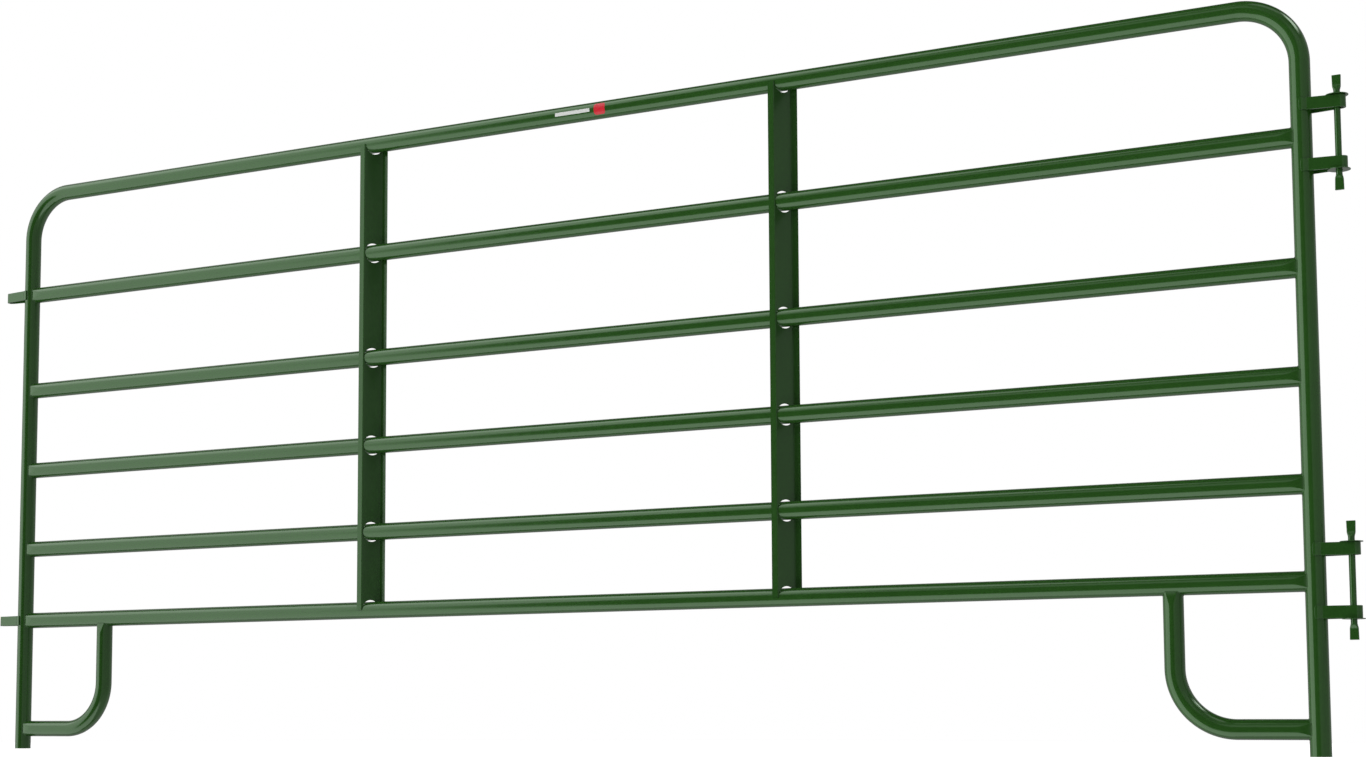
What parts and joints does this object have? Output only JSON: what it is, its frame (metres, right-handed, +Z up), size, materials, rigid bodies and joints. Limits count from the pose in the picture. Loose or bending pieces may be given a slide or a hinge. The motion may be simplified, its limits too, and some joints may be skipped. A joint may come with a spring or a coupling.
{
  "type": "livestock panel gate",
  "caption": "Welded tube corral panel with round top corners, cross rails, upright Z braces, bent leg loops, eye straps at one end and captive connecting pins at the other.",
  "frame": {"origin": "on the ground, at the middle of the panel's overall length and depth", "axes": "+X along the panel towards the pin end, +Y from front to back, +Z up"},
  "size_m": [3.56, 0.0492, 1.524],
  "materials": {
    "tube_coat": "glossy dark green powder coat",
    "brace_coat": "glossy dark green powder coat on folded sheet",
    "strap_coat": "dark green powder coat on flat bar",
    "washer_coat": "dark green powder coat on pressed washers",
    "pin_coat": "dark green powder coat on forged rod",
    "label_film": "green printed film with a plain white bar and a plain red mark"
  },
  "bodies": {
    "panel": {"frame_tube": "tube_coat", "rail_2": "tube_coat", "rail_3": "tube_coat", "rail_4": "tube_coat", "rail_5": "tube_coat", "rail_6": "tube_coat", "brace_left": "brace_coat", "brace_right": "brace_coat", "leg_loop_left": "tube_coat", "leg_loop_right": "tube_coat", "eye_strap_upper": "strap_coat", "eye_strap_lower": "strap_coat", "pin_strap_upper_top": "strap_coat", "pin_strap_upper_bottom": "strap_coat", "pin_strap_lower_top": "strap_coat", "pin_strap_lower_bottom": "strap_coat", "washer_upper_bottom": "washer_coat", "washer_lower_bottom": "washer_coat", "blank_label": "label_film"},
    "upper_washer": {"washer_upper_top": "washer_coat"},
    "upper_pin": {"pin_upper": "pin_coat"},
    "lower_washer": {"washer_lower_top": "washer_coat"},
    "lower_pin": {"pin_lower": "pin_coat"}
  },
  "joints": [
    {"name": "upper_washer_turn", "type": "hinge", "parent": "panel", "child": "upper_washer", "pos_m": [1.758, 0, 1.30396], "axis": [0, 0, 1], "continuous": true},
    {"name": "upper_pin_lift", "type": "slide", "parent": "upper_washer", "child": "upper_pin", "axis": [0, 0, 1], "range_m": [-0.009, 0.009]},
    {"name": "lower_washer_turn", "type": "hinge", "parent": "panel", "child": "lower_washer", "pos_m": [1.758, 0, 0.41696], "axis": [0, 0, 1], "continuous": true},
    {"name": "lower_pin_lift", "type": "slide", "parent": "lower_washer", "child": "lower_pin", "axis": [0, 0, 1], "range_m": [-0.009, 0.009]}
  ]
}
